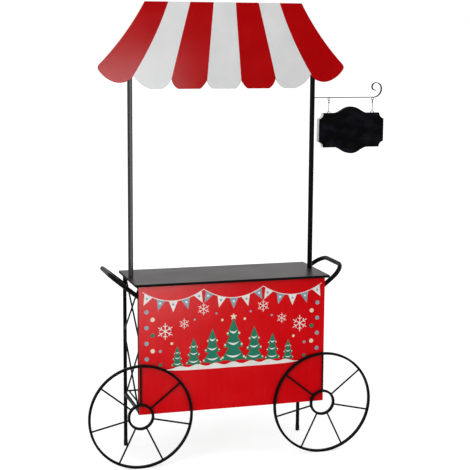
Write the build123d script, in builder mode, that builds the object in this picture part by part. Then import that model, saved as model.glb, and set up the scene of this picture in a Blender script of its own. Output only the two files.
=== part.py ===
"""Christmas display cart: a shelf on a tube frame with a printed front panel, two fixed spoked wheels,
two posts with a striped roof board, and a hanging sign that swings on two wire hangers.

Millimetres, +Z up. The front faces -Y. The origin is on the floor under the middle of the shelf.
"""

import os

from build123d import *

os.makedirs("parts", exist_ok=True)

# Shelf board
shelf_length = 792
shelf_depth = 315
shelf_thickness = 10
shelf_height = 732
shelf_corner = 3

# Tube frame
shelf_overhang = 21
tube_radius = 7.5
tube_wall = 1.2
rod_radius = 3.5
leg_setback = 16.5
foot_wall = 1
foot_floor = 3
foot_height = 24
foot_round = 4
brace_bend = 14
brace_flat = 16
brace_rise = 66
brace_gap = 0.2
rack_rise = 11.5
rack_inset = 19.5

# Front panel
panel_overlap = 5.5
panel_thickness = 6
panel_setback = 16.5
panel_rise = 5.5

# Handles
handle_radius = 9
handle_wall = 1.2
handle_reach = 100.5
handle_rise = 81
handle_drop = 57.5
handle_bend = 72
handle_seat = 2

# Wheels
wheel_radius = 207.5
hub_radius = 52.5
bar_thickness = 9.5
bar_width = 12
bar_round = 1
spoke_count = 7
washer_thickness = 1

# Posts and roof board
post_radius = 10
post_wall = 1.2
post_y = 24
plug_length = 30
cap_height = 4
cap_stub = 10
overall_height = 1800
roof_cover = 200
roof_thickness = 8
roof_top_half = 317.5
roof_half = 501
scallop_drop = 334

# Sign bracket, a flat strip with a scrolled end
strip_thickness = 3
strip_width = 10
bracket_drop = 173
scroll_past = 3
scroll_radii = (35, 24, 17, 13.5)
scroll_tail = 110
eyelet_wire = 1
eyelet_radius = 5

# Hanging sign and its wire hangers
sign_reach = 167
sign_thickness = 25
sign_half_width = 141.5
sign_half_height = 69.5
sign_crest = 25.5
crest_half = 68
crest_knee_across = 0.55
crest_knee_up = 0.52
crest_end_slope = -0.15
notch_width = 19
notch_height = 23
notch_bow = 4
hole_radius = 3.25
hole_inset = 7.5
hole_half_pitch = 95
hanger_wire = 1.25
hanger_ring = 3
hanger_length = 58.5
hanger_bend = 3
hanger_side = 3
hanger_shoulder = 12
hanger_apex = 14

# Bolts and screws
bolt_radius = 2
bolt_head_radius = 3.8
bolt_head_height = 2.2
nut_radius = 4.05
nut_height = 3.2
post_bolt_radius = 3
screw_radius = 1.75
screw_head_radius = 3.5
screw_head_height = 2
screw_stop = 1.5
clearance = 0.1
panel_screw_drop = 16
shelf_screw_shares = (0.2, 0.85)
roof_screw_drops = (15, 70)

# Positions that follow from the sizes above
shelf_front = -shelf_depth / 2
shelf_back = shelf_depth / 2
shelf_under = shelf_height - shelf_thickness
frame_half = shelf_length / 2 - shelf_overhang
panel_width = 2 * (frame_half + panel_overlap)
panel_bottom = wheel_radius + panel_rise
panel_front = shelf_front + panel_setback
panel_back = panel_front + panel_thickness
upright_y = panel_back + tube_radius
leg_y = shelf_back - leg_setback
top_rail_z = shelf_under - tube_radius
bottom_rail_z = panel_bottom + tube_radius
rack_z = bottom_rail_z + rack_rise
rack_half = frame_half - rack_inset
rim_centre = wheel_radius - bar_thickness / 2
hub_centre = hub_radius - bar_thickness / 2
wheel_y = panel_front - washer_thickness - bar_width / 2
bolt_seat_y = wheel_y - bar_width / 2
bolt_heights = [wheel_radius + rim_centre, wheel_radius + hub_centre]
nut_y = upright_y + tube_radius
handle_root = shelf_height - handle_drop
handle_aside = tube_radius + handle_radius - handle_seat
post_top = overall_height - roof_cover
roof_back = post_y - post_radius
panel_height = shelf_under - panel_bottom
brace_low = bolt_heights[0] + brace_rise
brace_high = brace_low + brace_flat
panel_screw_heights = [sum(bolt_heights) / 2, brace_high + brace_rise, handle_root - panel_screw_drop]
shelf_screw_places = [upright_y + share * (leg_y - upright_y) for share in shelf_screw_shares]
roof_screw_heights = [post_top - drop for drop in roof_screw_drops]
bracket_height = post_top - bracket_drop
eyelet_z = bracket_height - strip_thickness / 2 - eyelet_radius
swing_z = eyelet_z - eyelet_radius
hole_z = swing_z - hanger_length
sign_centre_z = hole_z + hole_inset - sign_half_height
sign_centre_x = frame_half + sign_reach
hanger_places = [sign_centre_x - hole_half_pitch, sign_centre_x + hole_half_pitch]
scroll_start = sign_centre_x + hole_half_pitch + scroll_past
sides = {"left": -1, "right": 1}


def keep(piece, name):
    """Names a finished piece and writes its file."""
    piece.part.label = name
    export_step(piece.part, f"parts/{name}.step")


def along(start, end):
    """A plane at the start point that faces the end point."""
    return Plane(origin=start, z_dir=Vector(*end) - Vector(*start))


def bar(start, end, radius, wall=0, cuts=()):
    """A straight rod, or a tube where a wall is given, less round cuts of (start, end, radius)."""
    with BuildPart() as piece:
        with BuildSketch(along(start, end)):
            Circle(radius)
            if wall:
                Circle(radius - wall, mode=Mode.SUBTRACT)
        extrude(amount=(Vector(*end) - Vector(*start)).length)
        for cut_start, cut_end, cut_radius in cuts:
            with BuildSketch(along(cut_start, cut_end)):
                Circle(cut_radius)
            extrude(amount=(Vector(*cut_end) - Vector(*cut_start)).length, mode=Mode.SUBTRACT)
    return piece


def upright_line(side):
    """The two ends of a front upright's centre line."""
    return (side * frame_half, upright_y, panel_bottom), (side * frame_half, upright_y, shelf_under)


def leg_line(side):
    """The two ends of a rear leg's centre line."""
    return (side * frame_half, leg_y, foot_floor), (side * frame_half, leg_y, shelf_under)


def side_rail(side, height, cuts=()):
    """A tube between a front upright and a rear leg, coped to both."""
    start = (side * frame_half, upright_y, height)
    end = (side * frame_half, leg_y, height)
    copes = [(*line, tube_radius) for line in (upright_line(side), leg_line(side))]
    return bar(start, end, tube_radius, tube_wall, [*copes, *cuts])


def side_brace(side, offset, root_y, apex_y):
    """One bent rod with its ends at root_y and a straight middle length, to be welded, at apex_y."""
    low = bottom_rail_z + tube_radius + 1.25 * rod_radius
    high = top_rail_z - tube_radius - 1.25 * rod_radius
    with BuildPart() as piece:
        with BuildLine(Plane.YZ.offset(side * frame_half + offset)) as path:
            FilletPolyline(
                (root_y, high),
                (apex_y, brace_high),
                (apex_y, brace_low),
                (root_y, low),
                radius=brace_bend,
            )
        with BuildSketch(Plane(origin=path.line @ 0, z_dir=path.line % 0)):
            Circle(rod_radius)
        sweep()
    return piece


def handle(side):
    """One tube bent to a U that leans out, coped to the backs of the upright and the leg."""
    origin = (side * frame_half, upright_y + handle_aside, handle_root)
    outward = (side * handle_reach, 0, handle_rise)
    lean = Plane(origin=origin, x_dir=outward, z_dir=(-handle_rise, 0, side * handle_reach))
    arm = (handle_reach**2 + handle_rise**2) ** 0.5
    span = leg_y - upright_y
    with BuildPart() as piece:
        with BuildLine(lean) as path:
            ends = (-tube_radius, 0), (-tube_radius, span)
            FilletPolyline(ends[0], (arm, 0), (arm, span), ends[1], radius=handle_bend)
        with BuildSketch(Plane(origin=path.line @ 0, z_dir=path.line % 0)):
            Circle(handle_radius)
            Circle(handle_radius - handle_wall, mode=Mode.SUBTRACT)
        sweep()
        with BuildSketch(Plane.XY.offset(panel_bottom)):
            with Locations((side * frame_half, upright_y), (side * frame_half, leg_y)):
                Circle(tube_radius)
        extrude(amount=shelf_under - panel_bottom, mode=Mode.SUBTRACT)
    return piece


def wheel_plane(side):
    """A plane at a wheel's centre that faces the front."""
    return Plane(origin=(side * frame_half, wheel_y, wheel_radius), x_dir=(1, 0, 0), z_dir=(0, -1, 0))


def wheel_ring(side, ring_radius):
    """A flat bar bent to a ring and drilled at the top for its bolt."""
    with BuildPart(wheel_plane(side)) as piece:
        Cylinder(ring_radius + bar_thickness / 2, bar_width)
        Cylinder(ring_radius - bar_thickness / 2, bar_width, mode=Mode.SUBTRACT)
        fillet(piece.edges().filter_by(GeomType.CIRCLE), radius=bar_round)
        with Locations((0, ring_radius)):
            Cylinder(bolt_radius + clearance, 2 * bar_width, mode=Mode.SUBTRACT)
    return piece


def wheel_spokes(side):
    """Straight rods between the hub ring and the rim, the first one upright, cut to fit both."""
    with BuildPart(wheel_plane(side)) as piece:
        with PolarLocations((rim_centre + hub_centre) / 2, spoke_count, start_angle=90):
            Cylinder(rod_radius, rim_centre - hub_centre, rotation=(0, 90, 0))
        Cylinder(hub_centre + bar_thickness / 2, bar_width, mode=Mode.SUBTRACT)
        Cylinder(rim_centre - bar_thickness / 2, bar_width, mode=Mode.INTERSECT)
    return piece


def pins(planes, head_radius, head_height, radius, length):
    """Headed fasteners, one on each plane: the head stands out of the plane and the shank goes in."""
    with BuildPart(*planes) as piece:
        Cylinder(head_radius, head_height, align=(Align.CENTER, Align.CENTER, Align.MIN))
        Cylinder(radius, length, align=(Align.CENTER, Align.CENTER, Align.MAX))
    return piece


def hanger(x):
    """One wire with a ring over the eyelet's lower bend and a loop through the sign's hole."""
    loop_half = sign_thickness / 2 + hanger_side
    outline = [
        (post_y - loop_half, hole_z),
        (post_y + loop_half, hole_z),
        (post_y + loop_half, hole_z + hanger_shoulder),
        (post_y, hole_z + hanger_apex),
        (post_y - loop_half, hole_z + hanger_shoulder),
    ]
    with BuildPart() as piece:
        with BuildLine(Plane.YZ.offset(x)) as path:
            FilletPolyline(*outline, radius=hanger_bend, close=True)
        with BuildSketch(Plane(origin=path.line @ 0, z_dir=path.line % 0)):
            Circle(hanger_wire)
        sweep()
        crown = path.edges().sort_by(Axis.Z)[-1] @ 0.5
        stem_low = crown.Z + hanger_wire / 4
        with BuildSketch(Plane.XY.offset(stem_low)):
            with Locations((x, post_y)):
                Circle(hanger_wire)
        extrude(amount=swing_z - hanger_ring - stem_low)
        with Locations((x, post_y, swing_z)):
            Torus(hanger_ring, hanger_wire, rotation=(0, 90, 0))
    return piece


def roof_at(across, down):
    """A point of the roof's outline, as shares of its half width and of its drop below the top edge."""
    return across * roof_half, -down * scallop_drop


# Shelf board, drilled from below for its screws and right through for the post bolts
with BuildPart() as shelf_top:
    with BuildSketch(Plane.XY.offset(shelf_under)):
        RectangleRounded(shelf_length, shelf_depth, shelf_corner)
    extrude(amount=shelf_thickness)
    with BuildSketch(Plane.XY.offset(shelf_under)):
        with Locations((-frame_half, post_y), (frame_half, post_y)):
            Circle(post_bolt_radius + clearance)
    extrude(amount=shelf_thickness, mode=Mode.SUBTRACT)
    with BuildSketch(Plane.XY.offset(shelf_under)):
        with Locations([(side * frame_half, y) for side in sides.values() for y in shelf_screw_places]):
            Circle(screw_radius + clearance)
    extrude(amount=shelf_thickness - screw_stop, mode=Mode.SUBTRACT)
keep(shelf_top, "shelf_top")

# Front panel, with through holes for the wheel bolts and blind holes from behind for its screws
with BuildPart() as front_panel:
    with BuildSketch(Plane.XZ.offset(-panel_back)):
        with Locations((0, panel_bottom + panel_height / 2)):
            Rectangle(panel_width, panel_height)
        with Locations([(side * frame_half, z) for side in sides.values() for z in bolt_heights]):
            Circle(bolt_radius + clearance, mode=Mode.SUBTRACT)
    extrude(amount=panel_thickness)
    with BuildSketch(Plane.XZ.offset(-panel_back)):
        with Locations([(side * frame_half, z) for side in sides.values() for z in panel_screw_heights]):
            Circle(screw_radius + clearance)
    extrude(amount=panel_thickness - screw_stop, mode=Mode.SUBTRACT)
keep(front_panel, "front_panel")

# Side frames: upright, leg, rails, crossed braces and handle
for name, side in sides.items():
    x = side * frame_half
    bored = [(z, bolt_radius) for z in bolt_heights] + [(z, screw_radius) for z in panel_screw_heights]
    holes = [((x, panel_back, z), (x, nut_y, z), radius + clearance) for z, radius in bored]
    keep(bar(*upright_line(side), tube_radius, tube_wall, holes), f"front_upright_{name}")
    keep(bar(*leg_line(side), tube_radius, tube_wall), f"rear_leg_{name}")

    rail_low = top_rail_z - tube_radius
    bored = [(y, screw_radius) for y in shelf_screw_places] + [(post_y, post_bolt_radius)]
    holes = [((x, y, rail_low), (x, y, shelf_under), radius + clearance) for y, radius in bored]
    keep(side_rail(side, top_rail_z, holes), f"side_top_rail_{name}")
    keep(side_rail(side, bottom_rail_z), f"side_bottom_rail_{name}")

    apart = rod_radius + brace_gap / 2
    beside = ((tube_radius + rod_radius) ** 2 - apart**2) ** 0.5
    front_face = upright_y + beside
    back_face = leg_y - beside
    keep(side_brace(side, apart, back_face, front_face), f"brace_bent_forward_{name}")
    keep(side_brace(side, -apart, front_face, back_face), f"brace_bent_back_{name}")
    keep(handle(side), f"handle_{name}")

# Rounded caps on the rear legs' lower ends
with BuildPart() as foot_caps:
    with Locations([(side * frame_half, leg_y, 0) for side in sides.values()]):
        Cylinder(tube_radius + foot_wall, foot_height, align=(Align.CENTER, Align.CENTER, Align.MIN))
    fillet(foot_caps.edges().group_by(Axis.Z)[0], radius=foot_round)
    with Locations([(side * frame_half, leg_y, foot_floor) for side in sides.values()]):
        Cylinder(
            tube_radius,
            foot_height,
            align=(Align.CENTER, Align.CENTER, Align.MIN),
            mode=Mode.SUBTRACT,
        )
keep(foot_caps, "foot_caps")

# Thin rods at the bottom: one at the front, one at the back, and two that run under them
for name, y, line in (("front", upright_y, upright_line), ("back", leg_y, leg_line)):
    copes = [(*line(side), tube_radius) for side in sides.values()]
    keep(bar((-frame_half, y, rack_z), (frame_half, y, rack_z), rod_radius, cuts=copes), f"bottom_rod_{name}")
for name, side in sides.items():
    x = side * rack_half
    z = rack_z - 2 * rod_radius
    keep(bar((x, upright_y - rod_radius, z), (x, leg_y + rod_radius, z), rod_radius), f"bottom_rod_{name}")

# Wheels, each a rim, a hub ring and its spokes
for name, side in sides.items():
    keep(wheel_ring(side, rim_centre), f"wheel_rim_{name}")
    keep(wheel_ring(side, hub_centre), f"wheel_hub_ring_{name}")
    keep(wheel_spokes(side), f"wheel_spokes_{name}")

# Bolts through the rims and hub rings, the panel and the uprights, with washers and nuts
bolt_places = [(side * frame_half, z) for side in sides.values() for z in bolt_heights]
bolt_planes = [Plane(origin=(x, bolt_seat_y, z), z_dir=(0, -1, 0)) for x, z in bolt_places]
bolt_length = nut_y + nut_height - bolt_seat_y
wheel_bolts = pins(bolt_planes, bolt_head_radius, bolt_head_height, bolt_radius, bolt_length)
with wheel_bolts:
    fillet(wheel_bolts.edges().group_by(Axis.Y)[0], radius=bolt_head_height / 2)
keep(wheel_bolts, "wheel_bolts")

with BuildPart() as wheel_washers:
    with BuildSketch(Plane.XZ.offset(-panel_front)):
        with Locations(bolt_places):
            Circle(bolt_head_radius)
            Circle(bolt_radius + clearance, mode=Mode.SUBTRACT)
    extrude(amount=washer_thickness)
keep(wheel_washers, "wheel_washers")

with BuildPart() as wheel_nuts:
    with BuildSketch(Plane.XZ.offset(-nut_y)):
        with Locations(bolt_places):
            RegularPolygon(nut_radius, 6)
            Circle(bolt_radius + clearance, mode=Mode.SUBTRACT)
    extrude(amount=-nut_height)
keep(wheel_nuts, "wheel_nuts")

# Screws from behind the uprights into the panel, and from under the upper side rails into the shelf
panel_screw_planes = [
    Plane(origin=(side * frame_half, nut_y, z), z_dir=(0, 1, 0))
    for side in sides.values()
    for z in panel_screw_heights
]
panel_screw_length = nut_y - panel_front - screw_stop
keep(
    pins(panel_screw_planes, screw_head_radius, screw_head_height, screw_radius, panel_screw_length),
    "panel_screws",
)
shelf_screw_planes = [
    Plane(origin=(side * frame_half, y, shelf_under - 2 * tube_radius), z_dir=(0, 0, -1))
    for side in sides.values()
    for y in shelf_screw_places
]
shelf_screw_length = 2 * tube_radius + shelf_thickness - screw_stop
keep(
    pins(shelf_screw_planes, screw_head_radius, screw_head_height, screw_radius, shelf_screw_length),
    "shelf_screws",
)

# Posts, their threaded lower plugs with the bolts that hold them, and their upper caps
for name, side in sides.items():
    x = side * frame_half
    post_back = post_y + post_radius
    holes = [((x, roof_back, z), (x, post_back, z), screw_radius + clearance) for z in roof_screw_heights]
    keep(bar((x, post_y, shelf_height), (x, post_y, post_top), post_radius, post_wall, holes), f"post_{name}")

with BuildPart() as post_plugs:
    with BuildSketch(Plane.XY.offset(shelf_height)):
        with Locations((-frame_half, post_y), (frame_half, post_y)):
            Circle(post_radius - post_wall)
            Circle(post_bolt_radius + clearance, mode=Mode.SUBTRACT)
    extrude(amount=plug_length)
keep(post_plugs, "post_plugs")

post_bolt_planes = [
    Plane(origin=(side * frame_half, post_y, shelf_under - 2 * tube_radius), z_dir=(0, 0, -1))
    for side in sides.values()
]
post_bolt_length = 2 * tube_radius + shelf_thickness + plug_length
keep(
    pins(post_bolt_planes, 2 * post_bolt_radius, post_bolt_radius, post_bolt_radius, post_bolt_length),
    "post_bolts",
)

with BuildPart() as post_caps:
    with Locations([(side * frame_half, post_y, post_top) for side in sides.values()]):
        Cylinder(post_radius, cap_height, align=(Align.CENTER, Align.CENTER, Align.MIN))
    fillet(post_caps.edges().group_by(Axis.Z)[-1], radius=cap_height / 2)
    with Locations([(side * frame_half, post_y, post_top) for side in sides.values()]):
        Cylinder(post_radius - post_wall, cap_stub, align=(Align.CENTER, Align.CENTER, Align.MAX))
keep(post_caps, "post_caps")

# Roof board: flared sides and seven scallops, drawn down from its top edge as one half and mirrored
roof_plane = Plane(origin=(0, roof_back, overall_height), x_dir=(1, 0, 0), z_dir=(0, -1, 0))
with BuildPart() as roof_board:
    with BuildSketch(roof_plane):
        with BuildLine():
            flare = [(roof_top_half, 0), roof_at(0.806, 0.398), roof_at(0.992, 0.719)]
            tip = [flare[-1], roof_at(1, 0.751), roof_at(0.992, 0.787)]
            outer_notch = roof_at(0.721, 0.835)
            middle_notch = roof_at(0.424, 0.877)
            inner_notch = roof_at(0.139, 0.898)
            Line((0, 0), flare[0])
            ThreePointArc(*flare)
            ThreePointArc(*tip)
            Spline(tip[-1], roof_at(0.934, 0.874), roof_at(0.84, 0.927), roof_at(0.766, 0.901), outer_notch)
            ThreePointArc(outer_notch, roof_at(0.659, 0.949), roof_at(0.583, 1))
            Line(roof_at(0.583, 1), roof_at(0.503, 1))
            ThreePointArc(roof_at(0.503, 1), roof_at(0.449, 0.943), middle_notch)
            ThreePointArc(middle_notch, roof_at(0.406, 0.952), roof_at(0.371, 1))
            Line(roof_at(0.371, 1), roof_at(0.194, 1))
            ThreePointArc(roof_at(0.194, 1), roof_at(0.16, 0.949), inner_notch)
            ThreePointArc(inner_notch, roof_at(0.12, 0.967), roof_at(0.096, 1))
            Line(roof_at(0.096, 1), roof_at(0, 1))
            mirror(about=Plane.YZ)
        make_face()
    extrude(amount=roof_thickness)
    with BuildSketch(roof_plane):
        screw_drops = [z - overall_height for z in roof_screw_heights]
        with Locations([(side * frame_half, drop) for side in sides.values() for drop in screw_drops]):
            Circle(screw_radius + clearance)
    extrude(amount=roof_thickness - screw_stop, mode=Mode.SUBTRACT)
keep(roof_board, "roof_board")

roof_screw_planes = [
    Plane(origin=(side * frame_half, post_y + post_radius, z), z_dir=(0, 1, 0))
    for side in sides.values()
    for z in roof_screw_heights
]
roof_screw_length = 2 * post_radius + roof_thickness - screw_stop
keep(
    pins(roof_screw_planes, screw_head_radius, screw_head_height, screw_radius, roof_screw_length),
    "roof_screws",
)

# Sign bracket, welded to the right post, and the two eyelets under it
with BuildPart() as sign_bracket:
    with BuildSketch(Plane.XZ.offset(-post_y)):
        with BuildLine():
            arm = Line((frame_half, bracket_height), (scroll_start, bracket_height))
            curl = arm
            for radius in scroll_radii[:-1]:
                curl = JernArc(curl @ 1, curl % 1, radius, 90)
            JernArc(curl @ 1, curl % 1, scroll_radii[-1], scroll_tail)
        trace(line_width=strip_thickness)
    extrude(amount=strip_width / 2, both=True)
    with BuildSketch(Plane.XY.offset(shelf_height)):
        with Locations((frame_half, post_y)):
            Circle(post_radius)
    extrude(amount=overall_height - shelf_height, mode=Mode.SUBTRACT)
keep(sign_bracket, "sign_bracket")

with BuildPart() as bracket_eyelets:
    with Locations([(x, post_y, eyelet_z) for x in hanger_places]):
        Torus(eyelet_radius, eyelet_wire, rotation=(90, 0, 0))
    with Locations([(x, post_y, bracket_height) for x in hanger_places]):
        Box(4 * eyelet_radius, strip_width, strip_thickness, mode=Mode.SUBTRACT)
keep(bracket_eyelets, "bracket_eyelets")

# Wire hangers
for name, x in zip(("left", "right"), hanger_places):
    keep(hanger(x), f"hanger_{name}")

# Sign board: bowed-in corners and a crest at the top and the bottom, drawn as one quarter and mirrored
with BuildPart() as sign_board:
    with BuildSketch(Plane(origin=(sign_centre_x, post_y, sign_centre_z), x_dir=(1, 0, 0), z_dir=(0, -1, 0))):
        with BuildLine():
            Spline(
                (0, sign_half_height + sign_crest),
                (crest_knee_across * crest_half, sign_half_height + crest_knee_up * sign_crest),
                (crest_half, sign_half_height),
                tangents=[(1, 0), (1, crest_end_slope)],
            )
            Line((crest_half, sign_half_height), (sign_half_width - notch_width, sign_half_height))
            ThreePointArc(
                (sign_half_width - notch_width, sign_half_height),
                (
                    sign_half_width - notch_width / 2 - notch_bow,
                    sign_half_height - notch_height / 2 - notch_bow,
                ),
                (sign_half_width, sign_half_height - notch_height),
            )
            Line((sign_half_width, sign_half_height - notch_height), (sign_half_width, 0))
            mirror(about=Plane.XZ)
            mirror(about=Plane.YZ)
        make_face()
        with Locations(
            (-hole_half_pitch, sign_half_height - hole_inset),
            (hole_half_pitch, sign_half_height - hole_inset),
        ):
            Circle(hole_radius, mode=Mode.SUBTRACT)
    extrude(amount=sign_thickness / 2, both=True)
keep(sign_board, "sign_board")
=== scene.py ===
import math

import bmesh
import bpy
from mathutils import Matrix, Vector


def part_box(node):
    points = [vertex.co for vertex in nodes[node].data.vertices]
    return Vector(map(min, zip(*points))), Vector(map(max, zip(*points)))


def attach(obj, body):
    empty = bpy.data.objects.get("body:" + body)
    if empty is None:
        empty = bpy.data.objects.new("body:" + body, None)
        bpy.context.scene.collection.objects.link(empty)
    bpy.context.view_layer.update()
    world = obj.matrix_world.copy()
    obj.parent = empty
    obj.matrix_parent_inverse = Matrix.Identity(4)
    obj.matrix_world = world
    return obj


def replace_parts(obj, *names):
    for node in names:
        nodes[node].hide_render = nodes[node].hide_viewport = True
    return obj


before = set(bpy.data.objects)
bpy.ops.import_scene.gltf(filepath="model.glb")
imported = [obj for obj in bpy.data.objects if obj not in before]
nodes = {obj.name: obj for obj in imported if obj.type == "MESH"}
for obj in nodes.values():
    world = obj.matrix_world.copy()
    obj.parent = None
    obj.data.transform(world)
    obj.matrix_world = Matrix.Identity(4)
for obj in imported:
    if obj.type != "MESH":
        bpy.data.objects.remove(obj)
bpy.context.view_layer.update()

# Side frames. Round steel tubes and thin rods, cut to fit each other and welded.
# The whole welded frame is powder coated black, so the weld beads carry the same coat.
mm = 0.001


def linear(colour):
    """An sRGB hex colour as linear red, green, blue and alpha."""
    parts = [int(colour[start : start + 2], 16) / 255 for start in (1, 3, 5)]
    return (*[part / 12.92 if part < 0.04045 else ((part + 0.055) / 1.055) ** 2.4 for part in parts], 1)


def add(material, kind, inputs=(), **settings):
    """Adds a shader node. Inputs, by socket name or place, are values or other nodes' outputs."""
    node = material.node_tree.nodes.new("ShaderNode" + kind)
    for name, value in settings.items():
        setattr(node, name, value)
    for name, value in dict(inputs).items():
        if isinstance(value, bpy.types.NodeSocket):
            material.node_tree.links.new(value, node.inputs[name])
        else:
            node.inputs[name].default_value = value
    return node


def coated(name, colours, roughness, patch, grain, depth, **sockets):
    """A finish whose colour and roughness drift over patches, with a fine raised grain of that depth."""
    material = bpy.data.materials.new(name)
    material.use_nodes = True
    shader = material.node_tree.nodes["Principled BSDF"]
    for socket, value in sockets.items():
        shader.inputs[socket.replace("_", " ")].default_value = value
    place = add(material, "TexCoord").outputs["Object"]
    drift = add(material, "TexNoise", {"Vector": place, "Scale": 1 / patch, "Detail": 4}).outputs["Fac"]
    share = add(material, "MapRange", {"Value": drift, "From Min": 0.3, "From Max": 0.7}).outputs["Result"]
    colour = {"Factor": share, "A": linear(colours[0]), "B": linear(colours[1])}
    colour = add(material, "Mix", colour, data_type="RGBA").outputs["Result"]
    rough = {"Value": share, "To Min": roughness[0], "To Max": roughness[1]}
    rough = add(material, "MapRange", rough).outputs["Result"]
    pebbles = add(material, "TexNoise", {"Vector": place, "Scale": 1 / grain, "Detail": 2}).outputs["Fac"]
    bump = add(material, "Bump", {"Height": pebbles, "Distance": depth, "Strength": 1}).outputs["Normal"]
    for output, socket in ((colour, "Base Color"), (rough, "Roughness"), (bump, "Normal")):
        material.node_tree.links.new(output, shader.inputs[socket])
    return material


def dress(material, *names):
    """Gives CAD nodes their finish."""
    for name in names:
        nodes[name].data.materials.clear()
        nodes[name].data.materials.append(material)


def show(name, mesh, materials, body="cart"):
    """Turns a bmesh into a named piece that rides on a body."""
    data = bpy.data.meshes.new(name)
    bmesh.ops.recalc_face_normals(mesh, faces=mesh.faces)
    mesh.to_mesh(data)
    mesh.free()
    for material in materials:
        data.materials.append(material)
    piece = bpy.data.objects.new(name, data)
    bpy.context.scene.collection.objects.link(piece)
    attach(piece, body)
    return piece


def turns(steps, start=0):
    """The angles of one full turn in equal steps. The first is at that share of a step."""
    return [2 * math.pi * (step + start) / steps for step in range(steps)]


def skin(mesh, rings, closed=False, smooth=True):
    """Joins rings of vertices by rows of four-sided faces. A row's face at a place ends at its point."""
    rows = []
    for ring, following in zip(rings, rings[1:] + rings[:1] if closed else rings[1:]):
        row = []
        for place in range(len(ring)):
            before = place - 1
            face = mesh.faces.new((ring[before], ring[place], following[place], following[before]))
            face.smooth = smooth
            row.append(face)
        rows.append(row)
    return rows


def bead(mesh, path, core, size, closed=True):
    """Lays a weld bead along a path, rippled by the torch's steps. The core is a point it goes round."""
    ripple = 2.2 * mm
    trough = 0.82
    thinnest = 0.08
    corners = 8
    rings = []
    travelled = 0
    last = len(path) - 1
    for place, point in enumerate(path):
        before = path[place - 1] if closed or place > 0 else point
        after = path[(place + 1) % len(path)] if closed or place < last else point
        along = (after - before).normalized()
        out = point - core
        out = (out - along * out.dot(along)).normalized()
        aside = along.cross(out)
        travelled += (point - path[place - 1]).length if place else 0
        radius = size * (trough + (1 - trough) * abs(math.sin(math.pi * travelled / ripple)))
        if not closed:
            end_share = abs(2 * place / last - 1)
            radius *= math.sqrt(max(1 - end_share**6, thinnest))
        arms = [math.cos(turn) * out + math.sin(turn) * aside for turn in turns(corners)]
        rings.append([mesh.verts.new(point + radius * arm) for arm in arms])
    skin(mesh, rings, closed)
    if not closed:
        for ring in (rings[0], rings[-1]):
            mesh.faces.new(ring).smooth = True


def cope_line(centre, branch, main, branch_radius, main_radius):
    """The closed line where a round branch meets a round bar square on. Their axes cross at the centre."""
    fewest = 24
    spacing = 0.12 * mm
    aside = branch.cross(main)
    line = []
    for turn in turns(max(fewest, round(branch_radius / spacing))):
        across = branch_radius * math.cos(turn)
        rise = math.sqrt(max(main_radius**2 - across**2, 0))
        line.append(centre + across * aside + branch_radius * math.sin(turn) * main + rise * branch)
    return line


def tack(mesh, middle, along, core, length, size):
    """A short straight weld with rounded ends."""
    steps = 20
    path = [middle + along * length * (step / steps - 0.5) for step in range(steps + 1)]
    bead(mesh, path, core, size, closed=False)


def middle_of(node):
    """The middle of a node's box."""
    low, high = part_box(node)
    return (low + high) / 2


# Powder coat is polyester baked on steel: a deep black with a soft shine and a faint orange peel.
powder_coat = coated(
    "black_powder_coat",
    colours=("#030303", "#070708"),
    roughness=(0.3, 0.42),
    patch=90 * mm,
    grain=2.4 * mm,
    depth=0.02 * mm,
    IOR=1.5,
    Specular_IOR_Level=0.05,
)
across, forward, upward = Vector((1, 0, 0)), Vector((0, 1, 0)), Vector((0, 0, 1))
sides = {"left": -1, "right": 1}
bead_size = 1.3 * mm
rod_bead = 0.8 * bead_size
rod_tack = 0.7 * bead_size
tack_spread = 0.6
brace_middle = 484.25 * mm
bend_weld = 13 * mm
end_weld = 7 * mm
brace_weld_outset = 0.9 * mm
for name, side in sides.items():
    frame_nodes = ["front_upright", "rear_leg", "side_top_rail", "side_bottom_rail"]
    frame_nodes += ["brace_bent_forward", "brace_bent_back", "bottom_rod"]
    dress(powder_coat, *[f"{node}_{name}" for node in frame_nodes])
    upright, leg = middle_of(f"front_upright_{name}"), middle_of(f"rear_leg_{name}")
    low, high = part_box(f"front_upright_{name}")
    tube_radius = (high.x - low.x) / 2
    low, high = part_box("bottom_rod_back")
    rod_radius = (high.z - low.z) / 2
    rack_height = (low.z + high.z) / 2
    inward = -side * across
    welds = bmesh.new()
    for tube, facing in ((upright, forward), (leg, -forward)):
        for rail in ("top", "bottom"):
            centre = Vector((tube.x, tube.y, middle_of(f"side_{rail}_rail_{name}").z))
            line = cope_line(centre, facing, upward, tube_radius, tube_radius)
            bead(welds, line, centre + facing * tube_radius, bead_size)
        centre = Vector((tube.x, tube.y, rack_height))
        line = cope_line(centre, inward, upward, rod_radius, tube_radius)
        bead(welds, line, centre + inward * tube_radius, rod_bead)
        crossing = Vector((middle_of(f"bottom_rod_{name}").x, tube.y, rack_height - rod_radius))
        for gap in (-rod_radius, rod_radius):
            spot = crossing + forward * gap * tack_spread
            tack(welds, spot, across, crossing - upward * rod_radius, 2 * rod_radius, rod_tack)
    for brace, flat_tube, root_tube in (("forward", upright, leg), ("back", leg, upright)):
        low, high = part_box(f"brace_bent_{brace}_{name}")
        middle = (low + high) / 2
        reach = (high.y - low.y) / 2 - rod_radius
        end_heights = (low.z + end_weld / 2, high.z - end_weld / 2)
        brace_welds = ((flat_tube, (brace_middle,), bend_weld), (root_tube, end_heights, end_weld))
        for tube, heights, length in brace_welds:
            lean = 1 if tube is leg else -1
            rod = Vector((middle.x, middle.y + lean * reach, 0))
            seat = (Vector((tube.x, tube.y, 0)) - rod).normalized()
            for height in heights:
                spot = rod + seat * rod_radius - inward * brace_weld_outset + upward * height
                tack(welds, spot, upward, spot + inward * rod_radius, length, bead_size)
    show(f"frame_welds_{name}", welds, [powder_coat])
dress(powder_coat, "bottom_rod_front", "bottom_rod_back")

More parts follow.
